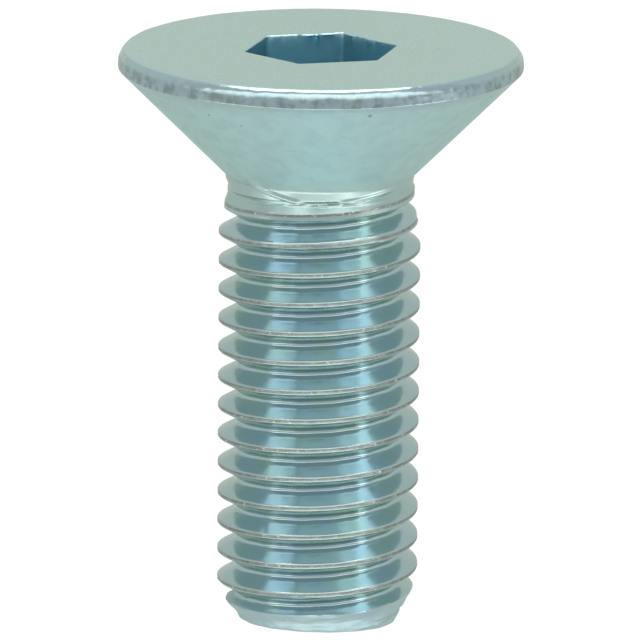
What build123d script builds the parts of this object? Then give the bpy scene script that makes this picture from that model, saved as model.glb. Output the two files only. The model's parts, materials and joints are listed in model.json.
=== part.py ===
from build123d import *
from math import atan, ceil, cos, degrees, radians, sin, tan
import os

# Countersunk screw with a hexagon socket, M12 x 35, forged and rolled in one piece and
# threaded up to the head. Sizes are in millimetres and angles in degrees. Along the screw,
# heights are 0 at the top of the head and fall towards the tip. Angles around it start at
# its +X side and turn towards its +Y side. It is built upright, and then laid on its +Y
# side, where the rim of the head and a crest near the tip touch the ground.

# thread, right-hand
PITCH = 1.75
MAJOR_D = 11.87
CREST_HEIGHT = 0.535  # outwards from the pitch line, where the groove is half a pitch wide
ROOT_DEPTH = 0.53  # inwards from the pitch line
FLANK_ANGLE = 30.0  # between a flank and the plane across the screw
CREST_PHASE = 0.417  # height of the crests above whole pitches, at angle 0

# head
HEAD_D = 23.78
LAND_HEIGHT = 1.08
LAND_LEAN = 0.09  # inwards, from the rim to the top face
CONE_HALF_ANGLE = 45.0
FACE_EDGE_R = 0.38
RIM_EDGE_R = 0.12

# neck, where the groove of the thread runs out
NECK_STEP = 0.06  # outwards from the pitch line
NECK_LENGTH = 0.69  # from the foot of the cone to the collar
NECK_FILLET_R = 0.6
COLLAR_STEP = 0.16  # outwards from the pitch line
FULL_CREST_DROP = 2.6  # from the collar to the first full crest
RUN_OUT_DROP = 1.0  # from the collar to where the bottom of the groove starts to rise
RUN_OUT_ANGLE = 36.5

# tip, cropped a little out of square
LENGTH = 34.6  # to the middle of the tip
POINT_LENGTH = 2.6
POINT_HALF_ANGLE = 27.0
POINT_EDGE_R = 0.3
CROP_TILT = 5.2
CROP_SIDE = 78.0  # angle around the screw of the longer side

# socket
SOCKET_FLATS = 8.0
SOCKET_DEPTH = 5.0
SOCKET_CORNER_R = 0.25
SOCKET_TURN = 14.3  # angle of a corner
SOCKET_BOTTOM_HALF_ANGLE = 60.0

# worked out from the sizes above
head_r = HEAD_D / 2
major_r = MAJOR_D / 2
pitch_r = major_r - CREST_HEIGHT
root_r = pitch_r - ROOT_DEPTH
neck_r = pitch_r + NECK_STEP
collar_r = pitch_r + COLLAR_STEP
cone_foot = -LAND_HEIGHT - (head_r - neck_r) / tan(radians(CONE_HALF_ANGLE))
collar_height = cone_foot - NECK_LENGTH
full_crest_height = collar_height - FULL_CREST_DROP
run_out_height = collar_height - RUN_OUT_DROP
clear_r = major_r + PITCH  # outside everything on the shank
far_plane = Plane((0, 0, 0), x_dir=(-1, 0, 0), z_dir=(0, 1, 0))  # opposite the groove's start
rod_foot = -LENGTH - 3 * PITCH  # the rod is made too long, and then pointed
sharp_r = pitch_r + PITCH / 4 / tan(radians(FLANK_ANGLE))  # where flanks would meet
groove_top_r = (major_r + sharp_r) / 2  # past the crests, with the turns still apart
groove_start = CREST_PHASE - PITCH / 2 - PITCH * (ceil(LENGTH / PITCH) + 1)
groove_end = collar_height + PITCH


def groove_width(radius):
    """Width of the groove along the screw, at a distance from the screw's middle."""
    return PITCH / 2 + 2 * (radius - pitch_r) * tan(radians(FLANK_ANGLE))


def height_on_cone(radius, known_radius, known_height, half_angle):
    """Height at which a cone that widens upwards has a radius."""
    return known_height + (radius - known_radius) / tan(radians(half_angle))


def point_radius(height, angle):
    """Radius of the tapered tip at a height and at an angle around the screw."""
    lean = major_r * tan(radians(CROP_TILT)) * cos(radians(angle - CROP_SIDE))
    below_start = POINT_LENGTH - LENGTH - lean - height
    return min(major_r, major_r - below_start * tan(radians(POINT_HALF_ANGLE)))


with BuildPart() as upright:
    # rod with the groove of the thread
    with BuildSketch(Plane.XY.offset(rod_foot)):
        Circle(major_r)
    extrude(amount=-rod_foot)
    with BuildLine() as groove_path:
        Helix(PITCH, groove_end - groove_start, pitch_r, center=(0, 0, groove_start))
    with BuildSketch(Plane.XZ):
        with BuildLine():
            Polyline(
                (root_r, groove_start - groove_width(root_r) / 2),
                (groove_top_r, groove_start - groove_width(groove_top_r) / 2),
                (groove_top_r, groove_start + groove_width(groove_top_r) / 2),
                (root_r, groove_start + groove_width(root_r) / 2),
                close=True,
            )
        make_face()
    sweep(path=groove_path.line, is_frenet=True, mode=Mode.SUBTRACT)

    # the groove runs out on a cone, which fills it above the thread
    core_r = root_r - PITCH / 4
    core_foot = height_on_cone(core_r, root_r, run_out_height, RUN_OUT_ANGLE)
    core_edge = height_on_cone(groove_top_r, root_r, run_out_height, RUN_OUT_ANGLE)
    with BuildSketch(far_plane):
        with BuildLine():
            Polyline(
                (0, core_foot),
                (core_r, core_foot),
                (groove_top_r, core_edge),
                (groove_top_r, PITCH),
                (0, PITCH),
                close=True,
            )
        make_face()
    revolve(axis=Axis.Z)

    # all of it ends at the collar, and the first crests are cut down by a cone that starts there
    split(bisect_by=Plane.XY.offset(collar_height), keep=Keep.BOTTOM)
    crest_angle = degrees(atan((collar_r - major_r) / FULL_CREST_DROP))
    crest_edge = height_on_cone(clear_r, collar_r, collar_height, crest_angle)
    with BuildSketch(far_plane):
        with BuildLine():
            Polyline(
                (collar_r, collar_height),
                (clear_r, crest_edge),
                (clear_r, collar_height + PITCH),
                (collar_r, collar_height + PITCH),
                close=True,
            )
        make_face()
    revolve(axis=Axis.Z, mode=Mode.SUBTRACT)

    # head and neck, whose foot is sunk a little into the collar
    neck_foot = collar_height - (collar_r - neck_r)
    with BuildSketch(Plane.XZ):
        with BuildLine() as head_outline:
            FilletPolyline(
                (0, 0),
                (head_r - LAND_LEAN, 0),
                (head_r, -LAND_HEIGHT),
                (neck_r, cone_foot),
                (neck_r, neck_foot),
                (0, neck_foot),
                radius=(FACE_EDGE_R, RIM_EDGE_R, NECK_FILLET_R, 0),
            )
            Line(head_outline.line @ 1, head_outline.line @ 0)
        make_face()
    revolve(axis=Axis.Z)

    # tip: a cone and a flat end with a rounded edge, both around a slightly tilted axis
    tilt = radians(CROP_TILT)
    side = radians(CROP_SIDE)
    outward = Vector(cos(side) * cos(tilt), sin(side) * cos(tilt), -sin(tilt))
    tip_plane = Plane((0, 0, -LENGTH), x_dir=outward, z_dir=(sin(side), -cos(side), 0))
    end_r = major_r - POINT_LENGTH * tan(radians(POINT_HALF_ANGLE))
    with BuildSketch(tip_plane):
        with BuildLine() as tip_outline:
            FilletPolyline(
                (clear_r, height_on_cone(clear_r, major_r, POINT_LENGTH, POINT_HALF_ANGLE)),
                (end_r, 0),
                (0, 0),
                (0, -4 * PITCH),
                (clear_r, -4 * PITCH),
                radius=(POINT_EDGE_R, 0, 0),
            )
            Line(tip_outline.line @ 1, tip_outline.line @ 0)
        make_face()
    revolve(axis=Axis((0, 0, -LENGTH), tip_plane.y_dir), mode=Mode.SUBTRACT)

    # socket, with the cone that the punch leaves at its bottom
    with BuildSketch() as socket:
        RegularPolygon(SOCKET_FLATS / 2, 6, major_radius=False, rotation=SOCKET_TURN)
        fillet(socket.vertices(), SOCKET_CORNER_R)
    extrude(amount=-SOCKET_DEPTH, mode=Mode.SUBTRACT)
    punch_r = SOCKET_FLATS / 2 - SOCKET_CORNER_R
    with BuildSketch(Plane.XZ):
        with BuildLine():
            Polyline(
                (0, -SOCKET_DEPTH),
                (punch_r, -SOCKET_DEPTH),
                (0, height_on_cone(0, punch_r, -SOCKET_DEPTH, SOCKET_BOTTOM_HALF_ANGLE)),
                close=True,
            )
        make_face()
    revolve(axis=Axis.Z, mode=Mode.SUBTRACT)

# It rests on the rim and on the crest that the ground meets first as the tip comes down.
down = 90
turns = range(ceil(-full_crest_height / PITCH) + 1, int(LENGTH / PITCH) + 1)
crests = [CREST_PHASE + PITCH * down / 360 - PITCH * turn for turn in turns]
slopes = [(head_r - point_radius(crest, down)) / (-LAND_HEIGHT - crest) for crest in crests]
rest_angle = atan(min(slopes))
along = (0, cos(rest_angle), sin(rest_angle))
with BuildPart(Plane((0, 0, 0), x_dir=(1, 0, 0), z_dir=along)) as laid:
    add(upright.part)

# The origin is on the ground, under the middle of the laid screw.
bounds = laid.part.bounding_box()
with BuildPart(Plane((-bounds.center().X, -bounds.center().Y, -bounds.min.Z))) as screw:
    add(laid.part)

screw.part.label = "screw"
os.makedirs("parts", exist_ok=True)
export_step(screw.part, "parts/screw.step")
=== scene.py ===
"""Dresses a zinc plated countersunk socket screw, which lies on its side on a pale floor."""

import json
import logging
import math
from dataclasses import dataclass
from enum import Enum
from functools import partial
from typing import Callable, Sequence

import bmesh
import bpy
from mathutils import Matrix, Vector, noise


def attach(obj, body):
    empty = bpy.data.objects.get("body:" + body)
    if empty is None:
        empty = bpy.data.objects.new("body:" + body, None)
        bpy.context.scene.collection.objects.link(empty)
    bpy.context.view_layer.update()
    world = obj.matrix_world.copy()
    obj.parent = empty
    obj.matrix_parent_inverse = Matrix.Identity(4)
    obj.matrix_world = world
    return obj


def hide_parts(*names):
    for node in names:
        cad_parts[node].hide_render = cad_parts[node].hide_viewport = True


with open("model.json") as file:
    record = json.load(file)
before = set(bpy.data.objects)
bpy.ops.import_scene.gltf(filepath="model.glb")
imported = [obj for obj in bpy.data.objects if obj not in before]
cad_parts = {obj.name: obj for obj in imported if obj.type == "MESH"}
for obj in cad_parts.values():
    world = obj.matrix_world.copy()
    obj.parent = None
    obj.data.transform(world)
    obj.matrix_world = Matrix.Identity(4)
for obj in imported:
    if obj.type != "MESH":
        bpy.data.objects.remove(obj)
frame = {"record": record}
log = logging.getLogger("screw")

MM = 0.001  # in metres
# lengths in millimetres
MAJOR_R = 5.935  # of the thread's crests
ROOT_R = 4.87  # of the thread's root
MIDDLE = -17.0  # height of the middle of the upright screw
SAME_POINT = 0.002  # distance below which two points are one
SLIVER = 0.0005  # length below which an edge is dissolved
CUT_WIDTH = 0.0001  # within which a point lies on a cut
ARC_STEP = 15.0  # longest piece of a rounded corner, in degrees

Outline = list[tuple[float, float]]  # radii with heights
Fade = tuple[float, float]  # values between which something grows from none of it to all
Place = Callable[[Vector], Vector]  # moves a point of the upright screw
Colour = tuple[float, float, float, float]

# side angles in degrees, between which the narrower left side of the neck sets in
LEFT_FRONT: Fade = (-55.0, -88.0)
LEFT_BACK: Fade = (-160.0, -120.0)


# --------------------------------------------------------------------------------------
# Placing and small sums
# --------------------------------------------------------------------------------------


@dataclass(frozen=True)
class Placing:
    """Where the screw lies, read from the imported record.

    The screw is modelled upright in millimetres: its axis is Z, the top of its head is at
    height 0 and its tip is below. Its +Y side lies on the ground.
    """

    head_centre: Vector
    along: Vector

    @classmethod
    def from_record(cls, record: dict) -> "Placing":
        """Reads the head's centre and the screw's direction from the mount on its face."""
        mount = next(m for m in record["mounts"] if m["name"] == "head_face")
        return cls(Vector(mount["pos_m"]), Vector(mount["axis"]).normalized())

    @property
    def turn(self) -> Matrix:
        """Rotation from the upright screw to the laid one."""
        across = Vector((1.0, 0.0, 0.0))
        return Matrix((across, self.along.cross(across), self.along)).transposed()

    @property
    def matrix(self) -> Matrix:
        """From the upright screw in millimetres to the laid screw in metres."""
        return Matrix.Translation(self.head_centre) @ self.turn.to_4x4() @ Matrix.Scale(MM, 4)

    def point(self, x: float, y: float, z: float) -> Vector:
        """Place in the frame of a point of the upright screw, given in millimetres."""
        return self.matrix @ Vector((x, y, z))


def clamp(value: float, low: float = 0.0, high: float = 1.0) -> float:
    """Keeps a value between two limits."""
    return max(low, min(high, value))


def smooth_step(low: float, high: float, value: float) -> float:
    """Rises smoothly from 0 at low to 1 at high."""
    t = clamp((value - low) / (high - low))
    return t * t * (3.0 - 2.0 * t)


def bump(centre: float, width: float, value: float) -> float:
    """Smooth hill of height 1 and of a half-width, 0 outside."""
    return smooth_step(1.0, 0.0, abs(value - centre) / width)


def down_table(table: Sequence[tuple[float, float]], height: float) -> float:
    """Reads a radius from a table, with straight lines between its rows.

    Args:
        table: Rows of height and radius, whose heights fall.
        height: The height to read it at.

    Returns:
        The radius, which stays the same beyond both ends.
    """
    for (z0, r0), (z1, r1) in zip(table, table[1:]):
        if z1 <= height <= z0:
            return r0 + (r1 - r0) * (z0 - height) / (z0 - z1)
    return table[0][1] if height > table[0][0] else table[-1][1]


def polar(radius: float, angle: float, height: float) -> Vector:
    """Point at a radius, an angle in radians and a height."""
    return Vector((radius * math.cos(angle), radius * math.sin(angle), height))


def side_angle(point: Vector) -> float:
    """Angle in degrees around the axis, 0 at the top of the laid screw and + to the right."""
    return math.degrees(math.atan2(point.x, -point.y))


def left_side(angle: float) -> float:
    """1 on the left side of the laid screw, where its neck is narrower, and 0 elsewhere."""
    return smooth_step(*LEFT_FRONT, angle) * smooth_step(*LEFT_BACK, angle)


def noise_at(point: Vector, scale: float, seed: float) -> float:
    """Smooth noise from about -1 to 1 at a point in millimetres."""
    return noise.noise(point / scale + Vector((seed, -seed, 2 * seed)))


@dataclass(frozen=True)
class Corner:
    """Corner of an outline, at a radius and a height, that may be rounded.

    The straight run after it is cut up into pieces no longer than the spacing.
    """

    radius: float
    height: float
    rounding: float = 0.0
    spacing: float = 1.0

    @property
    def place(self) -> Vector:
        """The corner as a point of the outline's plane."""
        return Vector((self.radius, self.height))


def rounded_corner(before: Corner, corner: Corner, after: Corner) -> list[Vector]:
    """Rounds a corner of an outline.

    Args:
        before: The corner before it.
        corner: The corner itself.
        after: The corner after it.

    Returns:
        Points of the arc, or the corner alone where it has no rounding.
    """
    here = corner.place
    if not corner.rounding:
        return [here]
    to_before = (before.place - here).normalized()
    to_after = (after.place - here).normalized()
    half = math.acos(clamp(to_before.dot(to_after), -1.0, 1.0)) / 2
    centre = here + (to_before + to_after).normalized() * corner.rounding / math.sin(half)
    reach = corner.rounding / math.tan(half)
    start, end = here + to_before * reach - centre, here + to_after * reach - centre
    sweep = math.pi - 2 * half
    steps = max(3, math.ceil(sweep / math.radians(ARC_STEP)))
    shares = [i / steps for i in range(steps + 1)]
    return [
        centre + (start * math.sin((1 - share) * sweep) + end * math.sin(share * sweep)) / math.sin(sweep)
        for share in shares
    ]


def outline_points(corners: Sequence[Corner]) -> Outline:
    """Finds the points along an outline with rounded corners.

    Args:
        corners: The corners. The first and the last aren't rounded.

    Returns:
        The points from the first corner to the last.
    """
    points = [tuple(corners[0].place)]
    arcs = [rounded_corner(*three) for three in zip(corners, corners[1:], corners[2:])]
    for corner, arc in zip(corners, arcs + [[corners[-1].place]]):
        start = Vector(points[-1])
        steps = max(1, math.ceil((arc[0] - start).length / corner.spacing))
        points += [tuple(start.lerp(arc[0], i / steps)) for i in range(1, steps + 1)]
        points += [tuple(point) for point in arc[1:]]
    return points


# --------------------------------------------------------------------------------------
# The screw's mesh
# --------------------------------------------------------------------------------------


@dataclass
class Thread:
    """Rolled metric thread: a helical band of one pitch, spun round the shank."""

    pitch: float = 1.75
    major_r: float = MAJOR_R
    root_r: float = ROOT_R
    flank_angle: float = 30.0  # between a flank and the plane across the screw
    flat: float = 0.257  # width of the crest
    seam_depth: float = 0.045  # the rolled metal doesn't quite close along the crest
    crest_round: float = 0.09
    round_in: float = 0.87  # how far in and down it meets the flank, as shares of its reach
    round_down: float = 0.5
    phase: float = 0.417  # height of the crests above whole pitches, at angle 0
    steps: int = 176  # per turn
    low: float = -35.6
    high: float = -6.4
    worn_band: Fade = (0.19, 0.12)  # distances from the middle of a crest
    seam_band: Fade = (0.11, 0.05)

    def corners(self) -> Outline:
        """Works out the profile of one pitch.

        Returns:
            Its corners, from a crest down to the next one.
        """
        half = self.flat / 2
        slope = math.tan(math.radians(self.flank_angle))
        foot = half + (self.major_r - self.root_r) * slope
        tangent = self.crest_round * slope
        flank_r = self.major_r - tangent * self.round_in
        flank_height = -half - tangent * self.round_down
        seam = [
            (self.major_r - self.seam_depth, 0.0),
            (self.major_r - self.seam_depth * 0.8, -half * 0.25),
            (self.major_r - self.seam_depth * 0.25, -half * 0.43),
        ]
        rounded_edge = [
            (self.major_r, tangent - half),
            (self.major_r - self.crest_round * 0.10, tangent * 0.25 - half),
            (flank_r, flank_height),
        ]
        flank = [
            (flank_r - 0.05, flank_height - 0.05 * slope),
            (self.root_r + 0.20, -foot + 0.20 * slope),
            (self.root_r + 0.14, -foot + 0.14 * slope),
        ]
        root = [(self.root_r + 0.04, -foot - 0.005), (self.root_r, -foot - 0.07)]
        upper = seam + rounded_edge + flank + root
        return upper + [(radius, -self.pitch - height) for radius, height in reversed(upper)]

    def spin(self, bm: bmesh.types.BMesh) -> None:
        """Spins one turn of the profile and repeats it along the screw.

        Args:
            bm: The empty mesh that takes it.
        """
        turns = math.ceil((self.high - self.low) / self.pitch) + 1
        first = self.phase + self.pitch * math.floor((self.low - self.phase) / self.pitch)
        row = [bm.verts.new((radius, 0.0, first + height)) for radius, height in self.corners()]
        edges = [bm.edges.new(pair) for pair in zip(row, row[1:])]
        bmesh.ops.spin(
            bm,
            geom=row + edges,
            cent=(0, 0, 0),
            axis=(0, 0, 1),
            dvec=(0, 0, self.pitch / self.steps),
            angle=math.tau,
            steps=self.steps,
        )
        turn = bm.verts[:] + bm.edges[:] + bm.faces[:]
        for count in range(1, turns):
            copy = bmesh.ops.duplicate(bm, geom=turn)["geom"]
            verts = [item for item in copy if isinstance(item, bmesh.types.BMVert)]
            bmesh.ops.translate(bm, verts=verts, vec=(0, 0, self.pitch * count))
        bmesh.ops.remove_doubles(bm, verts=bm.verts, dist=SAME_POINT)

    def above_crest(self, point: Vector) -> float:
        """Measures how high a point is above the middle of the nearest crest.

        Args:
            point: A point of the upright screw.

        Returns:
            The height, which is negative below the crest.
        """
        turns = math.atan2(point.y, point.x) / math.tau
        rest = (point.z - self.phase) / self.pitch - turns
        return (rest - round(rest)) * self.pitch

    def crease(self, point: Vector) -> float:
        """Measures how deep a point lies in the worn crest and its seam.

        Args:
            point: A point of the upright screw.

        Returns:
            From 0 to 0.5 into the worn band, and on to 1 into the seam.
        """
        away = abs(self.above_crest(point))
        return 0.5 * smooth_step(*self.worn_band, away) + 0.5 * smooth_step(*self.seam_band, away)


@dataclass
class Neck:
    """Where the thread runs out under the head."""

    root_r: float = ROOT_R
    run_out_height: float = -9.2
    run_out_angle: float = 36.5
    cut_height: float = -8.06
    shoulder_start: float = 0.06  # above the middle of the first crest
    shoulder_slope: float = 0.54  # inwards from there, towards the head
    shoulder_left: float = 0.45  # share of the slope that is missing on the left
    shoulder_height: float = 0.52
    shoulder_rise: float = 0.4  # above it, out to the neck
    shoulder_foot: Fade = (-9.3, -8.9)
    crest_limits: tuple[tuple[float, float], ...] = (  # heights with radii
        (-8.2, 5.56),
        (-9.3, 5.62),
        (-10.1, 5.72),
        (-10.65, 5.90),
        (-10.96, 5.96),
    )

    def shape(self, radius: float, height: float, above_crest: float, angle: float) -> float:
        """Works out the radius of the shank under the head.

        Args:
            radius: The radius of the full thread.
            height: The height on the screw.
            above_crest: The height above the nearest crest.
            angle: The side angle.

        Returns:
            The radius after the run-out.
        """
        if height < self.crest_limits[-1][0]:
            return radius
        rise = (height - self.run_out_height) * math.tan(math.radians(self.run_out_angle))
        limit = down_table(self.crest_limits, height)
        radius = min(max(radius, self.root_r + rise), limit)
        if above_crest < 0:
            return radius
        above = above_crest - self.shoulder_start
        slope = self.shoulder_slope * (1.0 - self.shoulder_left * left_side(angle))
        drop = slope * clamp(above, 0.0, self.shoulder_height)
        climb = self.shoulder_rise * max(0.0, above - self.shoulder_height)
        share = smooth_step(*self.shoulder_foot, height)
        return radius + (limit - drop + climb - radius) * share


@dataclass
class Tip:
    """Tapered end, cropped a little out of square."""

    major_r: float = MAJOR_R
    screw_length: float = 34.6
    point_length: float = 2.6
    half_angle: float = 27.0
    edge_r: float = 0.3
    edge_steps: int = 8
    cut_margin: float = 0.004  # of the taper, kept above its rounded edge
    tilt: float = 5.2
    side: float = 78.0  # angle around the screw of the longer side
    crest_rise: float = 0.25  # of the last crest, which is rolled up from the taper
    crest_right: Fade = (75.0, 30.0)  # side angles of that crest's ends
    crest_left: Fade = (-150.0, -110.0)
    crest_foot: Fade = (0.15, 0.5)  # heights above the flat end
    crest_lower: Fade = (-0.4, 0.4)  # heights above the middle of the crest

    @property
    def normal(self) -> Vector:
        """Direction of the tip's own axis, up the screw."""
        tilt = math.radians(self.tilt)
        return polar(math.sin(tilt), math.radians(self.side), math.cos(tilt))

    @property
    def end(self) -> Vector:
        """Middle of the flat end."""
        return Vector((0.0, 0.0, -self.screw_length))

    @property
    def slope(self) -> float:
        """Widening of the taper per height."""
        return math.tan(math.radians(self.half_angle))

    @property
    def end_r(self) -> float:
        """Radius at which the taper would meet the flat end."""
        return self.major_r - self.point_length * self.slope

    @property
    def edge_reach(self) -> float:
        """Distance from where the taper would end to where its rounded edge starts."""
        return self.edge_r / math.tan(math.radians(45 + self.half_angle / 2))

    @property
    def cut_place(self) -> Vector:
        """Point on the tip's axis at the height where the taper is cut off."""
        lift = self.edge_reach * math.cos(math.radians(self.half_angle)) + self.cut_margin
        return self.end + self.normal * lift

    def height_of(self, point: Vector) -> float:
        """Height of a point above the flat end, along the tip's axis."""
        return (point - self.end).dot(self.normal)

    def shape(self, point: Vector, radius: float, above_crest: float) -> float:
        """Limits the thread to the taper, with its last crest rolled up on the front.

        Args:
            point: A point of the full thread.
            radius: The radius there, once the neck is shaped.
            above_crest: The point's height above the nearest crest.

        Returns:
            The radius after the taper.
        """
        angle, height = side_angle(point), self.height_of(point)
        share = smooth_step(*self.crest_right, angle) * smooth_step(*self.crest_left, angle)
        rise = self.crest_rise * share * smooth_step(*self.crest_lower, above_crest)
        rise *= smooth_step(*self.crest_foot, height)
        return min(radius, self.end_r + max(0.0, height) * self.slope + rise)

    def rings(self) -> Outline:
        """Works out the rings of the rounded edge and of the flat end.

        Returns:
            Their radii with their heights above the end, both from the tip's own axis.
        """
        half = math.radians(self.half_angle)
        centre_r = self.end_r - self.edge_reach
        rings = []
        for i in range(1, self.edge_steps + 1):
            angle = -half - (math.pi / 2 - half) * i / self.edge_steps
            rings.append((centre_r + self.edge_r * math.cos(angle), self.edge_r * (1 + math.sin(angle))))
        return rings + [(centre_r * share, 0.0) for share in (0.85, 0.62, 0.38, 0.16)]

    def ring_at(self, radius: float, height: float) -> Place:
        """Makes a placing onto a circle round the tip's own axis.

        Args:
            radius: The circle's radius.
            height: Its height above the flat end.

        Returns:
            The placing.
        """
        turn = Vector((0, 0, 1)).rotation_difference(self.normal).to_matrix()
        back = turn.transposed()

        def place(point: Vector) -> Vector:
            """Moves a point onto the circle."""
            local = back @ (point - self.end)
            return self.end + turn @ polar(radius, math.atan2(local.y, local.x), height)

        return place


@dataclass
class Head:
    """Countersunk head with a hexagon socket."""

    neck_r: float = 5.46
    neck_height: float = -8.2
    flare_top: float = -7.5  # where the thread's end has widened to the cone's rounded foot
    flare_rings: int = 9
    cone_foot: float = -7.51
    rim_r: float = 11.89
    land_height: float = 1.08
    land_lean: float = 0.09
    neck_fillet_r: float = 0.6
    rim_edge_r: float = 0.12
    face_edge_r: float = 0.38
    face_ring_r: float = 5.15
    socket_flats: float = 8.0
    socket_depth: float = 5.0
    socket_corner_r: float = 0.25
    socket_turn: float = 14.3
    socket_edge_r: float = 0.10
    socket_edge_steps: int = 4
    socket_margin: float = 0.12  # of flat face round the rounded edge
    bottom_half_angle: float = 60.0  # of the cone that the punch leaves

    def side(self) -> Outline:
        """Works out the rings of the cone, the land and the face.

        Returns:
            The rings from the flare up to the one on the face round the socket.
        """
        corners = [
            Corner(self.neck_r, self.neck_height),
            Corner(self.neck_r, self.cone_foot, self.neck_fillet_r, spacing=0.8),
            Corner(self.rim_r, -self.land_height, self.rim_edge_r, spacing=0.13),
            Corner(self.rim_r - self.land_lean, 0.0, self.face_edge_r, spacing=1.1),
            Corner(self.face_ring_r, 0.0),
        ]
        return [point for point in outline_points(corners) if point[1] > self.flare_top]

    def flare(self, low: float) -> list[Place]:
        """Widens the end of the thread evenly to the foot of the cone.

        Args:
            low: The height of the thread's end.

        Returns:
            A placing for each ring, from the thread up.
        """
        target, top = self.side()[0]

        def place(point: Vector, left: int, height: float) -> Vector:
            """Moves a point up, and outwards by its share of what is left to go."""
            radius = math.hypot(point.x, point.y)
            return polar(radius + (target - radius) / left, math.atan2(point.y, point.x), height)

        step = (top - low) / self.flare_rings
        return [
            partial(place, left=self.flare_rings + 1 - ring, height=low + step * ring)
            for ring in range(1, self.flare_rings)
        ]

    def hexagon_radius(self, flat: float, angle: float) -> float:
        """Works out the radius of the socket's rounded hexagon.

        Args:
            flat: The distance from the axis to a flat.
            angle: The angle round the screw in radians.

        Returns:
            The distance from the axis to the hexagon's outline.
        """
        sector = math.pi / 3
        from_corner = (angle - math.radians(self.socket_turn) + sector / 2) % sector - sector / 2
        from_flat = sector / 2 - abs(from_corner)
        arc_start = math.atan((flat - self.socket_corner_r) * math.tan(sector / 2) / flat)
        if from_flat < arc_start:
            return flat / math.cos(from_flat)
        arc_centre = (flat - self.socket_corner_r) / math.cos(sector / 2)
        across = arc_centre * math.sin(from_corner)
        return arc_centre * math.cos(from_corner) + math.sqrt(self.socket_corner_r**2 - across**2)

    def hexagon_at(self, flat: float, height: float) -> Place:
        """Makes a placing onto the socket's rounded hexagon.

        Args:
            flat: The distance from the axis to a flat.
            height: The height of the hexagon.

        Returns:
            The placing.
        """

        def place(point: Vector) -> Vector:
            """Moves a point onto the hexagon."""
            angle = math.atan2(point.y, point.x)
            return polar(self.hexagon_radius(flat, angle), angle, height)

        return place

    def socket_rings(self) -> Outline:
        """Works out the hexagons of the socket, from the face down.

        Returns:
            The distances from the axis to the flats, with heights.
        """
        half = self.socket_flats / 2
        rings = [(half + self.socket_edge_r + self.socket_margin, 0.0)]
        for i in range(self.socket_edge_steps + 1):
            angle = math.pi / 2 * i / self.socket_edge_steps
            flat = half + self.socket_edge_r * (1 - math.sin(angle))
            rings.append((flat, -self.socket_edge_r * (1 - math.cos(angle))))
        depths = (0.35, 0.8, 1.4, 2.2, 3.1, 4.1, self.socket_depth)
        return rings + [(half, -depth) for depth in depths]

    def bottom_rings(self) -> Outline:
        """Works out the cone at the bottom of the socket.

        Returns:
            Its rings down to the point, whose radius is 0.
        """
        punch_r = self.socket_flats / 2 - self.socket_corner_r
        slope = math.tan(math.radians(self.bottom_half_angle))
        radii = [punch_r * share for share in (1.0, 0.75, 0.45, 0.2, 0.0)]
        return [(radius, -self.socket_depth - (punch_r - radius) / slope) for radius in radii]


def open_loop(bm: bmesh.types.BMesh, near: Callable[[Vector], bool]) -> list[bmesh.types.BMEdge]:
    """Open edges whose ends all pass a test."""
    return [edge for edge in bm.edges if edge.is_boundary and all(near(v.co) for v in edge.verts)]


def next_ring(
    bm: bmesh.types.BMesh, edges: Sequence[bmesh.types.BMEdge], place: Place
) -> list[bmesh.types.BMEdge]:
    """Extrudes a loop of edges once.

    Args:
        bm: The mesh.
        edges: The open loop.
        place: Where its new points go.

    Returns:
        The edges of the new open loop.
    """
    made = bmesh.ops.extrude_edge_only(bm, edges=list(edges))["geom"]
    for item in made:
        if isinstance(item, bmesh.types.BMVert):
            item.co = place(item.co)
    return [item for item in made if isinstance(item, bmesh.types.BMEdge) and item.is_boundary]


def ring_at(radius: float, height: float) -> Place:
    """Placing onto a circle round the screw's axis."""
    return lambda point: polar(radius, math.atan2(point.y, point.x), height)


def close_pole(bm: bmesh.types.BMesh, edges: Sequence[bmesh.types.BMEdge], place: Vector) -> None:
    """Closes a loop with a fan of faces that meet in one point.

    Args:
        bm: The mesh.
        edges: The open loop.
        place: The point.
    """
    last = next_ring(bm, edges, lambda point: place.copy())
    verts = {vert for edge in last for vert in edge.verts}
    bmesh.ops.pointmerge(bm, verts=list(verts), merge_co=place)


@dataclass(frozen=True)
class Dent:
    """Small nick in a crest of the thread, in millimetres and degrees."""

    angle: float  # from the top of the laid screw
    height: float
    width: float
    depth: float
    radius: float = 5.9  # of the crest

    def depth_at(self, angle: float, height: float) -> float:
        """Works out the nick's depth on the crest.

        Args:
            angle: The side angle there.
            height: The height there.

        Returns:
            The depth, which falls to 0 at the nick's width from its middle.
        """
        around = (angle - self.angle) * math.radians(self.radius)
        return self.depth * smooth_step(self.width, 0.0, math.hypot(around, height - self.height))


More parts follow.
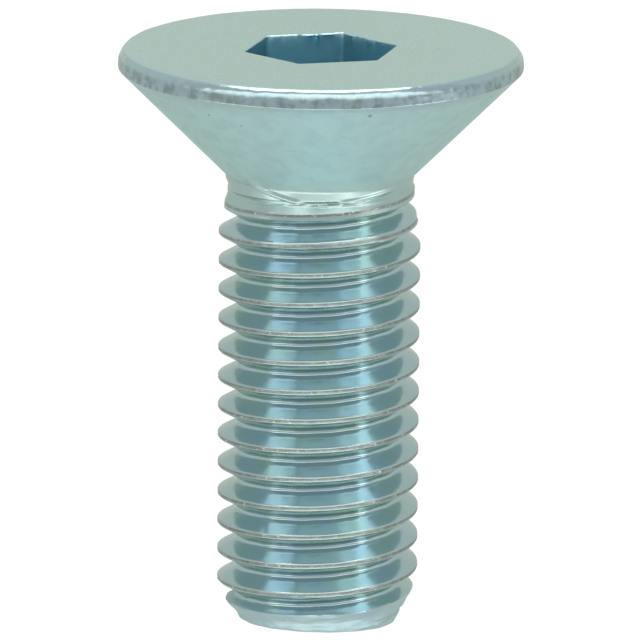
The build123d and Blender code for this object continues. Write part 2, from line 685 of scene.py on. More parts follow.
@dataclass
class Wear:
    """Unevenness left by forging, rolling and handling. Lengths are in millimetres."""

    socket_r: float = 5.0  # radius inside which there is only the socket
    land_depth: float = 0.055
    land_inner: Fade = (11.0, 11.5)  # radii
    land_foot: Fade = (-1.25, -1.0)  # heights
    land_round: float = 0.15  # worn off the upper half of the land
    land_upper: Fade = (-0.65, -0.05)
    cone_depth: float = 0.02
    cone_foot: Fade = (-7.9, -6.9)
    cone_top: Fade = (-1.0, -1.6)
    thread_top: float = -8.3
    thread_depth: float = 0.012
    crest_r: float = 5.55  # outside it, the thread is crest
    crest_depth: float = 0.02
    flank_r: float = 5.8  # from there inwards, the facets deepen
    flank_depth: float = 0.72
    facet_depth: float = 0.05  # of the shallow facets along the thread's root
    facet_angle: float = 22.5
    facet_turn: float = 12.0
    taper_depth: float = 0.055
    taper_top: Fade = (-32.4, -33.0)
    taper_draw: float = 0.35  # the less, the further the scratches run around the tip
    neck_radii: tuple[float, float] = (5.0, 6.5)
    neck_heights: tuple[float, float] = (-8.6, -7.1)
    streak_height: float = 0.075
    streak_fade: Fade = (0.2, 0.03)  # distances from the middle of a streak
    streak_line: float = -8.12  # height of the groove, from which the streaks rise
    streak_rise: tuple[float, float] = (0.75, 0.38)  # on the left and on the right
    streak_from: float = 13.0  # side angle of the foot of that rise
    streak_span: float = 32.0  # angle that it takes
    streak_near: Fade = (10.0, 17.0)  # side angles of a streak's ends
    streak_far: Fade = (60.0, 42.0)
    groove_depth: float = 0.07
    groove_width: float = 0.13
    groove_end: Fade = (17.0, 8.0)  # side angles
    narrowing: float = 0.19  # of the neck, on its left side
    narrow_height: float = -8.1
    narrow_width: float = 0.5
    burr_heights: tuple[float, float] = (-0.5, -0.001)
    burr_back: Fade = (1.5, 2.6)  # distances towards the ground
    burr_outer: Fade = (4.95, 4.65)  # radii
    burr_drop: float = 0.10  # of its lip
    burr_lip: Fade = (-0.12, -0.02)
    burr_rough: float = 0.08  # inwards
    burr_foot: Fade = (-0.4, 0.0)
    flap_width: float = 0.24  # of a flap that hangs into the socket
    flap_place: float = -0.23  # sideways
    flap_depth: float = 0.16
    flap_foot: Fade = (-0.36, -0.12)
    dents: tuple[Dent, ...] = (
        Dent(14, -11.3, 0.5, 0.10),
        Dent(-42, -26.7, 0.45, 0.08),
        Dent(-12, -16.9, 0.3, 0.05),
        Dent(28, -21.9, 0.4, 0.06),
    )

    def shift(self, point: Vector) -> Vector:
        """Wears the smooth screw.

        Args:
            point: A point of the smooth screw.

        Returns:
            Where it ends up.
        """
        radius = math.hypot(point.x, point.y)
        if radius < 1e-6:
            return point
        angle = side_angle(point)
        inwards = self._land(point, radius) + self._cone(point, radius)
        inwards += self._thread(point, radius, angle) + self._taper(point)
        inwards -= self._streaks(point, radius, angle)
        moved = point - Vector((point.x, point.y, 0.0)) / radius * inwards
        return moved + self._burr(point, radius)

    def _land(self, point: Vector, radius: float) -> float:
        """Hammers the land of the head and rounds its edges.

        Args:
            point: A point of the smooth screw.
            radius: Its radius.

        Returns:
            How far it moves inwards.
        """
        share = smooth_step(*self.land_inner, radius) * smooth_step(*self.land_foot, point.z)
        rough = 0.5 + 0.5 * noise_at(point, 0.6, 3.1) + 0.3 * noise_at(point, 0.3, 8.7)
        edge = smooth_step(*self.land_upper, point.z) * (1.0 + 0.35 * noise_at(point, 1.6, 6.6))
        return share * (self.land_depth * clamp(rough, 0.0, 1.5) + self.land_round * edge)

    def _cone(self, point: Vector, radius: float) -> float:
        """Makes the cone slightly wavy.

        Args:
            point: A point of the smooth screw.
            radius: Its radius.

        Returns:
            How far it moves inwards.
        """
        if radius <= self.socket_r:
            return 0.0
        share = smooth_step(*self.cone_foot, point.z) * smooth_step(*self.cone_top, point.z)
        return self.cone_depth * share * (0.5 + 0.5 * noise_at(point, 1.9, 5.2))

    def _thread(self, point: Vector, radius: float, angle: float) -> float:
        """Nicks the crests, puts facets along the root and makes all of the thread wavy.

        Args:
            point: A point of the smooth screw.
            radius: Its radius.
            angle: Its side angle.

        Returns:
            How far it moves inwards.
        """
        if point.z > self.thread_top:
            return 0.0
        depth = self.thread_depth * (1 + noise_at(point, 0.8, 1.3))
        facet = 0.5 - 0.5 * math.cos(math.tau * (angle + self.facet_turn) / self.facet_angle)
        depth += self.facet_depth * facet * clamp((self.flank_r - radius) / self.flank_depth)
        if radius > self.crest_r:
            depth += self.crest_depth * max(0.0, noise_at(point, 0.35, 6.4) - 0.1)
            depth += sum(dent.depth_at(angle, point.z) for dent in self.dents)
        return depth

    def _taper(self, point: Vector) -> float:
        """Batters the taper of the tip, with scratches that run around it.

        Args:
            point: A point of the smooth screw.

        Returns:
            How far it moves inwards.
        """
        share = smooth_step(*self.taper_top, point.z)
        drawn = Vector((point.x * self.taper_draw, point.y * self.taper_draw, point.z))
        rough = 0.4 + 0.25 * noise_at(point, 0.6, 2.2) + 0.6 * noise_at(drawn, 0.22, 9.2)
        return self.taper_depth * share * clamp(rough, 0.0, 1.0)

    def _streaks(self, point: Vector, radius: float, angle: float) -> float:
        """Raises streaks on the neck above a groove, and narrows the neck's left side.

        Args:
            point: A point of the smooth screw.
            radius: Its radius.
            angle: Its side angle.

        Returns:
            How far it moves outwards.
        """
        low, high = self.neck_heights
        inner, outer = self.neck_radii
        if not (low < point.z < high and inner < radius < outer):
            return 0.0
        side = abs(angle)
        rise = self.streak_rise[0] if angle < 0 else self.streak_rise[1]
        line = self.streak_line + rise * (side - self.streak_from) / self.streak_span
        share = smooth_step(*self.streak_near, side) * smooth_step(*self.streak_far, side)
        streak = self.streak_height * share * smooth_step(*self.streak_fade, abs(point.z - line))
        groove = self.groove_depth * smooth_step(*self.groove_end, side)
        groove *= bump(self.streak_line, self.groove_width, point.z)
        narrow = self.narrowing * left_side(angle) * bump(self.narrow_height, self.narrow_width, point.z)
        return streak - groove - narrow

    def _burr(self, point: Vector, radius: float) -> Vector:
        """Breaks up the back edge of the socket.

        Args:
            point: A point of the smooth screw.
            radius: Its radius.

        Returns:
            How it moves.
        """
        low, high = self.burr_heights
        back = smooth_step(*self.burr_back, point.y) * smooth_step(*self.burr_outer, radius)
        if not (low < point.z < high and back):
            return Vector((0.0, 0.0, 0.0))
        ragged = noise_at(point, 0.3, 4.4)
        rough = self.burr_rough * ragged * smooth_step(*self.burr_foot, point.z)
        flap = self.flap_depth * bump(self.flap_place, self.flap_width, point.x)
        flap *= smooth_step(*self.flap_foot, point.z)
        drop = self.burr_drop * smooth_step(*self.burr_lip, point.z) * max(0.0, ragged)
        return Vector((0.0, -(rough + flap) * back, -drop * back))


class Zone(Enum):
    """Part of the screw's surface that looks different from the rest."""

    FACE = "face"
    LAND = "land"
    CONE = "cone"
    NECK = "neck"
    TIP = "tip"
    CREASE = "crease"
    SOCKET = "socket"


@dataclass(frozen=True)
class ZoneLimits:
    """Radii and heights where the zones end."""

    face_r: float = 4.0
    face_height: float = -0.09
    land_r: float = 11.0
    # the land's zone, which takes the painted shade, fades in below the land's rounded top
    land_top: Fade = (-0.3, -0.55)
    land_foot: float = -1.1
    cone_r: float = 5.4
    cone_top: float = -1.15
    cone_foot: float = -7.4
    neck_r: float = 5.0
    neck_top: Fade = (-7.0, -7.4)
    neck_foot: Fade = (-9.1, -8.8)
    crest_r: float = 5.5
    tip_r: float = 5.6
    tip_top: Fade = (-32.6, -33.1)
    socket_r: float = 4.7
    socket_top: Fade = (-0.02, -0.15)
    socket_foot: float = -8.0


@dataclass
class Screw:
    """The whole screw as one closed mesh."""

    placing: Placing
    thread: Thread
    neck: Neck
    tip: Tip
    head: Head
    wear: Wear
    limits: ZoneLimits = ZoneLimits()
    finer: tuple[tuple[float, float], ...] = ((-35.2, -32.0), (-10.9, -7.5))  # heights of finer flanks
    flank_length: float = 0.5  # below which an edge isn't a flank
    flank_cuts: int = 7
    sharp_angle: float = 38.0

    def build(self) -> bmesh.types.BMesh:
        """Builds the screw.

        Returns:
            The upright mesh in millimetres.
        """
        bm = bmesh.new()
        self.thread.spin(bm)
        self._cut_thread(bm)
        self._close_tip(bm)
        self._add_head(bm)
        bmesh.ops.dissolve_degenerate(bm, dist=SLIVER, edges=bm.edges)
        for vert in bm.verts:
            vert.co = self.wear.shift(vert.co)
        bmesh.ops.recalc_face_normals(bm, faces=bm.faces)
        return bm

    def _cut_thread(self, bm: bmesh.types.BMesh) -> None:
        """Limits the thread at the neck and at the taper, and trims both ends.

        Args:
            bm: The mesh of the full thread.
        """
        for low, high in self.finer:
            near = [edge for edge in bm.edges if low < edge.verts[0].co.z < high]
            flanks = [edge for edge in near if edge.calc_length() > self.flank_length]
            bmesh.ops.subdivide_edges(bm, edges=flanks, cuts=self.flank_cuts, use_grid_fill=True)
        for vert in bm.verts:
            radius = math.hypot(vert.co.x, vert.co.y)
            above = self.thread.above_crest(vert.co)
            wanted = self.neck.shape(radius, vert.co.z, above, side_angle(vert.co))
            wanted = self.tip.shape(vert.co, wanted, above)
            vert.co.xy = vert.co.xy * (wanted / radius)
        self._trim(bm, Vector((0, 0, self.neck.cut_height)), Vector((0, 0, 1)))
        self._trim(bm, self.tip.cut_place, -self.tip.normal)

    def _trim(self, bm: bmesh.types.BMesh, point: Vector, outward: Vector) -> None:
        """Cuts the mesh with a plane and drops what lies beyond it.

        Args:
            bm: The mesh.
            point: A point of the plane.
            outward: The direction of the side that is dropped.
        """
        bmesh.ops.bisect_plane(
            bm,
            geom=bm.verts[:] + bm.edges[:] + bm.faces[:],
            dist=CUT_WIDTH,
            plane_co=point,
            plane_no=outward,
            clear_outer=True,
        )

    def _close_tip(self, bm: bmesh.types.BMesh) -> None:
        """Adds the rounded edge and the flat end of the tip.

        Args:
            bm: The mesh of the cut thread.
        """
        edges = open_loop(bm, lambda point: self.tip.height_of(point) < self.tip.point_length)
        for radius, height in self.tip.rings():
            edges = next_ring(bm, edges, self.tip.ring_at(radius, height))
        close_pole(bm, edges, self.tip.end)

    def _neck_loop(self, bm: bmesh.types.BMesh) -> list[bmesh.types.BMEdge]:
        """Finds the open edges where the thread is cut off under the head."""
        return open_loop(bm, lambda point: point.z > self.neck.cut_height - SAME_POINT)

    def _add_head(self, bm: bmesh.types.BMesh) -> None:
        """Adds the neck, the head and its socket.

        Args:
            bm: The mesh of the cut thread.
        """
        head = self.head
        bmesh.ops.subdivide_edges(bm, edges=self._neck_loop(bm), cuts=1)
        edges = self._neck_loop(bm)
        for place in head.flare(self.neck.cut_height):
            edges = next_ring(bm, edges, place)
        for radius, height in head.side():
            edges = next_ring(bm, edges, ring_at(radius, height))
        for flat, height in head.socket_rings():
            edges = next_ring(bm, edges, head.hexagon_at(flat, height))
        *rings, (_, bottom) = head.bottom_rings()
        for radius, height in rings:
            edges = next_ring(bm, edges, ring_at(radius, height))
        close_pole(bm, edges, Vector((0, 0, bottom)))

    def zones(self, point: Vector) -> dict[Zone, float]:
        """Sorts a point into the zones of the surface.

        Args:
            point: A point of the upright screw.

        Returns:
            How far it belongs to each zone, from 0 to 1. A zone left out counts as 0.
        """
        radius, height = math.hypot(point.x, point.y), point.z
        limits = self.limits
        shares: dict[Zone, float] = {}
        if radius > limits.face_r and height > limits.face_height:
            shares[Zone.FACE] = 1.0
        if radius > limits.cone_r and limits.cone_foot < height < limits.cone_top:
            shares[Zone.CONE] = 1.0
        if radius > limits.land_r and height > limits.land_foot:
            shares[Zone.LAND] = smooth_step(*limits.land_top, height)
        if radius > limits.neck_r:
            shares[Zone.NECK] = smooth_step(*limits.neck_foot, height) * smooth_step(*limits.neck_top, height)
        if radius < limits.tip_r:
            shares[Zone.TIP] = smooth_step(*limits.tip_top, height)
        if radius > limits.crest_r and height < self.neck.cut_height:
            shares[Zone.CREASE] = self.thread.crease(point)
        if radius < limits.socket_r and height > limits.socket_foot:
            shares[Zone.SOCKET] = smooth_step(*limits.socket_top, height)
        return shares

    def lay(self, bm: bmesh.types.BMesh) -> bpy.types.Object:
        """Lays the mesh down in the frame and makes an object of it.

        Args:
            bm: The upright mesh in millimetres, which is used up.

        Returns:
            The object, with the zones as attributes of its points.
        """
        layers = {zone: bm.verts.layers.float.new(zone.value) for zone in Zone}
        for vert in bm.verts:
            for zone, share in self.zones(vert.co).items():
                vert[layers[zone]] = share
        bmesh.ops.transform(bm, matrix=self.placing.matrix, verts=bm.verts)
        bmesh.ops.recalc_face_normals(bm, faces=bm.faces)
        mesh = bpy.data.meshes.new("screw_mesh")
        bm.to_mesh(mesh)
        bm.free()
        mesh.shade_smooth()
        mesh.set_sharp_from_angle(angle=math.radians(self.sharp_angle))
        piece = bpy.data.objects.new("screw_piece", mesh)
        bpy.context.scene.collection.objects.link(piece)
        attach(piece, "root")
        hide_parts("screw")
        return piece

    def dress(self, piece: bpy.types.Object, finish: "ZincFinish") -> None:
        """Coats the screw with zinc."""
        piece.data.materials.append(ZincCoating(finish, self.placing).material())


# --------------------------------------------------------------------------------------
# Surface
# --------------------------------------------------------------------------------------


@dataclass(frozen=True)
class Pattern:
    """Cloudy pattern: a noise, and how strongly it shows between two of its levels."""

    scale: float
    detail: float
    low: float
    high: float
    faint: float = 0.0  # at the low level
    strong: float = 1.0  # at the high level
    twist: float = 0.0


class Nodes:
    """Short ways to add and join shader nodes."""

    def __init__(self, tree: bpy.types.NodeTree) -> None:
        """Empties the tree that the nodes go into."""
        self.tree = tree
        tree.nodes.clear()

    def add(self, kind: str, settings: dict | None = None, **inputs: object) -> bpy.types.Node:
        """Adds a node.

        Args:
            kind: The node's type.
            settings: Its properties.
            inputs: Sockets to set or join, by name with _ for spaces, or by number as i0.

        Returns:
            The new node.
        """
        node = self.tree.nodes.new(kind)
        for name, value in (settings or {}).items():
            setattr(node, name, value)
        for name, value in inputs.items():
            numbered = name[0] == "i" and name[1:].isdigit()
            socket = node.inputs[int(name[1:]) if numbered else name.replace("_", " ")]
            if isinstance(value, bpy.types.NodeSocket):
                self.tree.links.new(value, socket)
            else:
                socket.default_value = value
        return node

    def math(self, operation: str, *values: object, limit: bool = False) -> bpy.types.NodeSocket:
        """Adds a sum of numbers.

        Args:
            operation: What is done with them.
            values: The numbers, or sockets that give them.
            limit: Whether the result is kept between 0 and 1.

        Returns:
            The result.
        """
        settings = {"operation": operation, "use_clamp": limit}
        inputs = {f"i{i}": value for i, value in enumerate(values)}
        return self.add("ShaderNodeMath", settings, **inputs).outputs[0]

    def ramp(
        self,
        value: bpy.types.NodeSocket,
        low: float,
        high: float,
        out_low: float = 0.0,
        out_high: float = 1.0,
    ) -> bpy.types.NodeSocket:
        """Maps a range of values smoothly onto another.

        Args:
            value: The value.
            low: The range's start.
            high: The range's end.
            out_low: What the start becomes.
            out_high: What the end becomes.

        Returns:
            The mapped value.
        """
        settings = {"interpolation_type": "SMOOTHSTEP", "clamp": True}
        inputs = {"Value": value, "From_Min": low, "From_Max": high, "To_Min": out_low, "To_Max": out_high}
        return self.add("ShaderNodeMapRange", settings, **inputs).outputs[0]

    def noise(
        self, place: bpy.types.NodeSocket, scale: float, detail: float, twist: float = 0.0
    ) -> bpy.types.NodeSocket:
        """Adds a noise.

        Args:
            place: The place to read it at, in millimetres.
            scale: How fine it is.
            detail: How many finer noises are added to it.
            twist: How far it is distorted.

        Returns:
            Its value, about 0.5 on average.
        """
        inputs = {"Vector": place, "Scale": scale, "Detail": detail, "Distortion": twist}
        return self.add("ShaderNodeTexNoise", **inputs).outputs["Fac"]

    def pattern(self, place: bpy.types.NodeSocket, pattern: Pattern) -> bpy.types.NodeSocket:
        """Adds a pattern.

        Args:
            place: The place to read it at, in millimetres.
            pattern: The pattern.

        Returns:
            How strongly it shows.
        """
        value = self.noise(place, pattern.scale, pattern.detail, pattern.twist)
        return self.ramp(value, pattern.low, pattern.high, pattern.faint, pattern.strong)

    def mix(self, factor: object, first: object, second: object) -> bpy.types.NodeSocket:
        """Mixes two colours.

        Args:
            factor: The second colour's share.
            first: The first colour.
            second: The second colour.

        Returns:
            The mixed colour.
        """
        node = self.add("ShaderNodeMix", {"data_type": "RGBA"}, i0=factor, i6=first, i7=second)
        return node.outputs[2]


@dataclass(frozen=True)
class Pit:
    """Small dark hole in the coating, at a point of the upright screw."""

    place: tuple[float, float, float]
    radius: float


@dataclass(frozen=True)
class ZincFinish:
    """Colours, patterns and gloss of the passivated zinc."""

    base: Colour = (0.405, 0.545, 0.59, 1.0)
    green: Colour = (0.415, 0.555, 0.55, 1.0)
    dark: Colour = (0.27, 0.42, 0.45, 1.0)
    face: Colour = (0.505, 0.67, 0.675, 1.0)
    face_green: Colour = (0.485, 0.68, 0.645, 1.0)
    # cone: partly its own paler matt tone, partly painted light that makes up for the dark thread it mirrors
    cone: Colour = (0.435, 0.62, 0.61, 1.0)
    neck: Colour = (0.41, 0.55, 0.53, 1.0)
    nick: Colour = (0.70, 0.76, 0.71, 1.0)
    worn: Colour = (0.42, 0.515, 0.50, 1.0)
    # crease: painted shade, a dark grey-brown laid in the seams along the crests in place of a dark
    # reflection
    crease: Colour = (0.23, 0.275, 0.255, 1.0)
    socket: Colour = (0.27, 0.53, 0.62, 1.0)
    # dark colour of the real pits, and of the painted shade on the land's lower band
    dirt_and_shade: Colour = (0.20, 0.26, 0.26, 1.0)
    edge_tint: Colour = (0.93, 0.95, 0.87, 1.0)
    mottle: Pattern = Pattern(0.5, 3.0, 0.4, 0.65)  # of the base and the face, towards green
    stain: Pattern = Pattern(1.1, 5.0, 0.42, 0.68, 0.0, 0.22)  # on the cone
    speckle: Pattern = Pattern(3.0, 4.0, 0.60, 0.78, 0.0, 0.3)
    # patches of painted shade in the crest seams, towards the crease colour
    seam_painted_shade: Pattern = Pattern(2.2, 3.0, 0.3, 0.65, 0.55, 0.95)
    nicks: Pattern = Pattern(4.5, 2.0, 0.62, 0.74, twist=0.5)
    tip_nicks: float = 0.4  # how strongly they show on the tip
    # painted shade: mottled dark on the lower band of the land, under its highlight
    land_painted_shade: Pattern = Pattern(2.0, 4.0, 0.38, 0.68, 0.2, 0.75, twist=0.3)
    pits: tuple[Pit, ...] = (
        Pit((2.83, -10.95, -1.65), 0.16),
        Pit((-6.41, -8.69, -2.16), 0.11),
        Pit((-4.56, -9.22, -2.67), 0.08),
        Pit((-2.29, -4.25, 0.0), 0.09),
    )
    pit_core: float = 0.5  # share of a pit's radius that is darkest
    pit_strength: float = 0.8
    gloss: float = 0.155  # roughness of the rolled thread
    satin: float = 0.27  # of the face, the land, the neck and the worn crests
    matt: float = 0.46  # of the cone and the taper
    dull_socket: float = 0.75  # share of the matt in the socket
    speckle_rough: Pattern = Pattern(3.0, 4.0, 0.35, 0.8, 0.0, 0.06)  # added to the roughness
    relief_scale: float = 3.0
    relief_detail: float = 3.0
    relief_height: float = 0.00002  # in metres
    relief_strength: float = 0.06


class ZincCoating:
    """Material of the whole screw."""

    def __init__(self, finish: ZincFinish, placing: Placing) -> None:
        """Starts the material with the upright screw's places and with its zones.

        Args:
            finish: The colours, patterns and gloss.
            placing: Where the screw lies.
        """
        self.finish = finish
        self.zinc = bpy.data.materials.new("zinc")
        self.zinc.use_nodes = True
        self.nodes = Nodes(self.zinc.node_tree)
        self.upright = self.nodes.add(
            "ShaderNodeMapping",
            {"vector_type": "TEXTURE"},
            Vector=self.nodes.add("ShaderNodeTexCoord").outputs["Object"],
            Location=placing.head_centre,
            Rotation=placing.turn.to_euler(),
            Scale=(MM, MM, MM),
        ).outputs[0]
        self.zones = {zone: self._share(zone) for zone in Zone}
        self.crest = self.nodes.ramp(self.zones[Zone.CREASE], 0.0, 0.5)
        self.seam = self.nodes.ramp(self.zones[Zone.CREASE], 0.5, 1.0)

    def material(self) -> bpy.types.Material:
        """Joins the colours, the gloss and the relief.

        Returns:
            The finished material.
        """
        metal = self.nodes.add(
            "ShaderNodeBsdfPrincipled",
            Base_Color=self._pits(self._wear_and_shade(self._coat())),
            Metallic=1.0,
            Roughness=self._roughness(),
            Specular_Tint=self.finish.edge_tint,
            Normal=self._relief(),
        )
        self.nodes.add("ShaderNodeOutputMaterial", Surface=metal.outputs[0])
        return self.zinc

    def _share(self, zone: Zone) -> bpy.types.NodeSocket:
        """Reads how far a place belongs to a zone, from 0 to 1."""
        return self.nodes.add("ShaderNodeAttribute", {"attribute_name": zone.value}).outputs["Fac"]

    def _times(self, first: bpy.types.NodeSocket, second: bpy.types.NodeSocket) -> bpy.types.NodeSocket:
        """Multiplies two shares."""
        return self.nodes.math("MULTIPLY", first, second, limit=True)

    def _most(self, first: bpy.types.NodeSocket, *others: bpy.types.NodeSocket) -> bpy.types.NodeSocket:
        """Takes the largest of several shares.

        Args:
            first: The first share.
            others: The other shares.

        Returns:
            The largest share.
        """
        for other in others:
            first = self.nodes.math("MAXIMUM", first, other)
        return first

    def _coat(self) -> bpy.types.NodeSocket:
        """Colours the coating zone by zone.

        Returns:
            The colour of clean zinc, lighter on the cone partly as painted light.
        """
        nodes, finish, zones = self.nodes, self.finish, self.zones
        mottle = nodes.pattern(self.upright, finish.mottle)
        colour = nodes.mix(mottle, finish.base, finish.green)
        colour = nodes.mix(zones[Zone.FACE], colour, nodes.mix(mottle, finish.face, finish.face_green))
        # the cone's lighter zinc is partly painted light
        colour = nodes.mix(zones[Zone.CONE], colour, finish.cone)
        colour = nodes.mix(zones[Zone.NECK], colour, finish.neck)
        stain = self._times(zones[Zone.CONE], nodes.pattern(self.upright, finish.stain))
        colour = nodes.mix(stain, colour, finish.dark)
        colour = nodes.mix(nodes.pattern(self.upright, finish.speckle), colour, finish.dark)
        return nodes.mix(zones[Zone.SOCKET], colour, finish.socket)

    def _wear_and_shade(self, colour: bpy.types.NodeSocket) -> bpy.types.NodeSocket:
        """Puts wear and bright nicks on the crests and the tip, and painted shade in the crest seams and on
        the land's lower band.

        Args:
            colour: The colour of clean zinc.

        Returns:
            The colour of worn zinc, with the painted shade.
        """
        nodes, finish = self.nodes, self.finish
        colour = nodes.mix(self.crest, colour, finish.worn)
        # painted shade: darkens the crest seams in patches
        seam_painted_shade = self._times(self.seam, nodes.pattern(self.upright, finish.seam_painted_shade))
        colour = nodes.mix(seam_painted_shade, colour, finish.crease)
        nicked = nodes.math("MULTIPLY_ADD", self.zones[Zone.TIP], finish.tip_nicks, self.seam)
        nicks = self._times(nicked, nodes.pattern(self.upright, finish.nicks))
        colour = nodes.mix(nicks, colour, finish.nick)
        # painted shade: mottles the lower band of the land dark
        land_painted_shade = self._times(self.zones[Zone.LAND], nodes.pattern(self.upright, finish.land_painted_shade))
        return nodes.mix(land_painted_shade, colour, finish.dirt_and_shade)

    def _pits(self, colour: bpy.types.NodeSocket) -> bpy.types.NodeSocket:
        """Adds the small dark pits.

        Args:
            colour: The colour without them.

        Returns:
            The colour with them.
        """
        nodes, finish = self.nodes, self.finish
        for pit in finish.pits:
            measure = nodes.add(
                "ShaderNodeVectorMath", {"operation": "DISTANCE"}, i0=self.upright, i1=pit.place
            )
            core = pit.radius * finish.pit_core
            spot = nodes.ramp(measure.outputs["Value"], pit.radius, core, 0.0, finish.pit_strength)
            colour = nodes.mix(spot, colour, finish.dirt_and_shade)
        return colour

    def _roughness(self) -> bpy.types.NodeSocket:
        """Works out how rough each zone is.

        Returns:
            The roughness.
        """
        nodes, finish, zones = self.nodes, self.finish, self.zones
        satin = self._most(zones[Zone.FACE], zones[Zone.LAND], zones[Zone.NECK], self.crest)
        rough = nodes.math("MULTIPLY_ADD", satin, finish.satin - finish.gloss, finish.gloss)
        dull = nodes.math("MULTIPLY", zones[Zone.SOCKET], finish.dull_socket)
        matt = self._most(zones[Zone.CONE], zones[Zone.TIP], dull)
        rough = nodes.math("MULTIPLY_ADD", matt, finish.matt - finish.gloss, rough)
        return nodes.math("ADD", rough, nodes.pattern(self.upright, finish.speckle_rough))

    def _relief(self) -> bpy.types.NodeSocket:
        """Adds a faint grain.

        Returns:
            The surface's direction.
        """
        finish = self.finish
        return self.nodes.add(
            "ShaderNodeBump",
            Strength=finish.relief_strength,
            Distance=finish.relief_height,
            Height=self.nodes.noise(self.upright, finish.relief_scale, finish.relief_detail),
        ).outputs[0]


# --------------------------------------------------------------------------------------
# Floor, light and camera
# --------------------------------------------------------------------------------------


@dataclass(frozen=True)
class FloorFinish:
    """Pale paint, which looks almost white where it is seen or mirrored."""

    paint: Colour = (0.80, 0.80, 0.79, 1.0)
    shaded: Colour = (0.16, 0.16, 0.16, 1.0)  # share of the seen floor that takes light and shade
    seen: Colour = (1.0, 1.0, 1.0, 1.0)
    mirrored: Colour = (0.63, 0.65, 0.64, 1.0)
    glow: float = 0.90


@dataclass(frozen=True)
class Floor:
    """Floor that the screw lies on."""

    half_width: float = 1.5  # in metres
    finish: FloorFinish = FloorFinish()

    def build(self) -> bpy.types.Object:
        """Lays the floor.

        Returns:
            Its object.
        """
        mesh = bpy.data.meshes.new("floor_mesh")
        bm = bmesh.new()
        bmesh.ops.create_grid(bm, x_segments=1, y_segments=1, size=self.half_width)
        bm.to_mesh(mesh)
        bm.free()
        floor = bpy.data.objects.new("floor", mesh)
        bpy.context.scene.collection.objects.link(floor)
        mesh.materials.append(self._paint())
        return floor

    def _paint(self) -> bpy.types.Material:
        """Paints the floor.

        Returns:
            The material.
        """
        finish = self.finish
        material = bpy.data.materials.new("floor_paint")
        material.use_nodes = True
        nodes = Nodes(material.node_tree)
        path = nodes.add("ShaderNodeLightPath").outputs
        seen = nodes.math("MAXIMUM", path["Is Camera Ray"], path["Is Glossy Ray"])
        tint = nodes.mix(path["Is Camera Ray"], finish.mirrored, finish.seen)
        paint = nodes.add("ShaderNodeBsdfDiffuse", Color=finish.paint)
        shaded = nodes.add("ShaderNodeBsdfDiffuse", Color=finish.shaded)
        glow = nodes.add("ShaderNodeEmission", Color=tint, Strength=finish.glow)
        plain = nodes.add("ShaderNodeAddShader", i0=shaded.outputs[0], i1=glow.outputs[0])
        surface = nodes.add("ShaderNodeMixShader", i0=seen, i1=paint.outputs[0], i2=plain.outputs[0])
        nodes.add("ShaderNodeOutputMaterial", Surface=surface.outputs[0])
        return material


@dataclass(frozen=True)
class SoftLight:
    """Rectangular light that faces the screw.

    Its azimuth is measured from the head's side towards the right, and its width and height
    are the angles that it fills, all in degrees.
    """

    name: str
    azimuth: float
    elevation: float
    width: float
    height: float
    radiance: float
    colour: tuple[float, float, float] = (1.0, 1.0, 1.0)
    distance: float = 0.8  # in metres

    def place(self, target: Vector) -> None:
        """Puts the light up.

        Args:
            target: The point that it faces.
        """
        data = bpy.data.lights.new(self.name, "AREA")
        data.shape = "RECTANGLE"
        data.size = 2 * self.distance * math.tan(math.radians(self.width / 2))
        data.size_y = 2 * self.distance * math.tan(math.radians(self.height / 2))
        data.energy = self.radiance * math.pi * data.size * data.size_y
        data.color = self.colour
        light = bpy.data.objects.new(self.name, data)
        azimuth, elevation = math.radians(self.azimuth), math.radians(self.elevation)
        towards = Vector(
            (
                math.sin(azimuth) * math.cos(elevation),
                math.cos(azimuth) * math.cos(elevation),
                math.sin(elevation),
            )
        )
        light.location = target + towards * self.distance
        light.rotation_euler = towards.to_track_quat("Z", "Y").to_euler()
        light.visible_camera = False
        bpy.context.scene.collection.objects.link(light)


LIGHTS = (
    SoftLight("head_low", 0, 11, 54, 20, 3.8),
    SoftLight("head_high", 0, 58, 130, 30, 1.2),
    SoftLight("tip_left", -133, 16, 22, 30, 1.4, (1.0, 0.94, 1.0)),
    SoftLight("tip_left_edge", -150, 14, 12, 26, 0.3),
    SoftLight("tip_right", 120, 16, 27, 30, 1.8, (1.0, 0.96, 0.98)),
    SoftLight("tip_right_edge", 141, 14, 20, 26, 0.65),
    SoftLight("side_left", -110, 14, 24, 26, 0.25),
    SoftLight("side_right", 94, 14, 22, 26, 0.25),
    SoftLight("tip_fill", 170, 32, 60, 26, 0.42),
    SoftLight("tip_low", 180, 10, 60, 20, 1.6),
)
ROOM_LIGHT = 0.665  # strength of the room's light on the screw


def light_room() -> None:
    """Fills the room with plain light, which the camera sees as white."""
    world = bpy.data.worlds.new("room")
    world.use_nodes = True
    nodes = Nodes(world.node_tree)
    seen = nodes.add("ShaderNodeLightPath").outputs["Is Camera Ray"]
    strength = nodes.math("MULTIPLY_ADD", seen, 1.0 - ROOM_LIGHT, ROOM_LIGHT)
    light = nodes.add("ShaderNodeBackground", Color=(1.0, 1.0, 1.0, 1.0), Strength=strength)
    nodes.add("ShaderNodeOutputWorld", Surface=light.outputs[0])
    bpy.context.scene.world = world


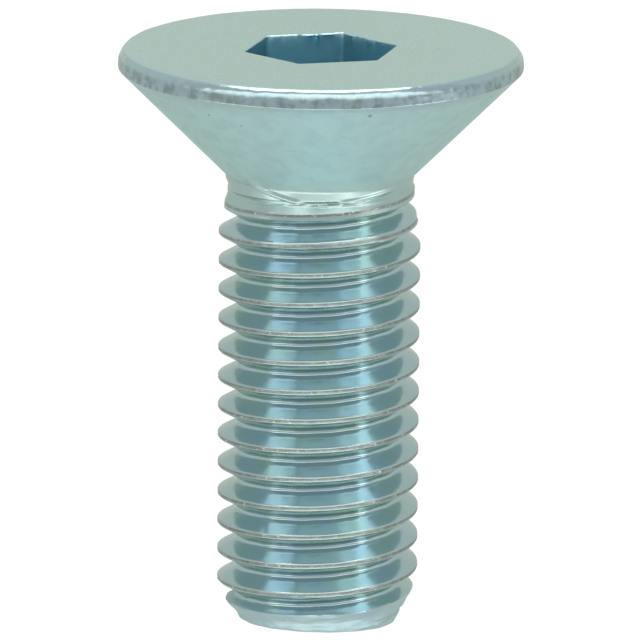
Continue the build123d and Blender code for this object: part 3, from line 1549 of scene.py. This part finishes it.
@dataclass(frozen=True)
class Lens:
    """Long lens that looks down on the screw."""

    distance: float = 0.508  # in metres
    aim_height: float = MIDDLE  # on the screw's axis
    lean: float = 13.805  # towards the head, in degrees
    roll: float = 0.4425  # in degrees
    focal: float = 485.59
    sensor: float = 36.0
    shift_x: float = 0.0017
    shift_y: float = 0.0166
    near: float = 0.05  # in metres
    far: float = 5.0

    def place(self, placing: Placing) -> None:
        """Makes the camera.

        Args:
            placing: Where the screw lies.
        """
        lean, roll = math.radians(self.lean), math.radians(self.roll)
        view = Vector((0, math.cos(lean), -math.sin(lean)))
        up = Vector((0, math.sin(lean), math.cos(lean)))
        across = Vector((1, 0, 0))
        right = across * math.cos(roll) + up * math.sin(roll)
        top = up * math.cos(roll) - across * math.sin(roll)
        turn = placing.turn @ Matrix((right, top, -view)).transposed()
        aim = placing.point(0, 0, self.aim_height)
        data = bpy.data.cameras.new("lens")
        data.lens = self.focal
        data.sensor_width = self.sensor
        data.shift_x = self.shift_x
        data.shift_y = self.shift_y
        data.clip_start = self.near
        data.clip_end = self.far
        camera = bpy.data.objects.new("camera", data)
        place = aim - (placing.turn @ view) * self.distance
        camera.matrix_world = Matrix.Translation(place) @ turn.to_4x4()
        bpy.context.scene.collection.objects.link(camera)
        bpy.context.scene.camera = camera


def report(piece: bpy.types.Object) -> None:
    """Logs a finished piece with its number of triangles."""
    log.info("%s: %d triangles", piece.name, sum(len(face.vertices) - 2 for face in piece.data.polygons))


def main() -> None:
    """Builds the screw, its surface and the room."""
    logging.basicConfig(level=logging.INFO)
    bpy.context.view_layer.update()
    placing = Placing.from_record(frame["record"])
    screw = Screw(placing, Thread(), Neck(), Tip(), Head(), Wear())
    piece = screw.lay(screw.build())
    screw.dress(piece, ZincFinish())
    report(piece)
    report(Floor().build())
    light_room()
    for light in LIGHTS:
        light.place(placing.point(0, 0, MIDDLE))
    Lens().place(placing)
    bpy.context.scene.view_settings.view_transform = "Standard"


if __name__ == "__main__":
    main()
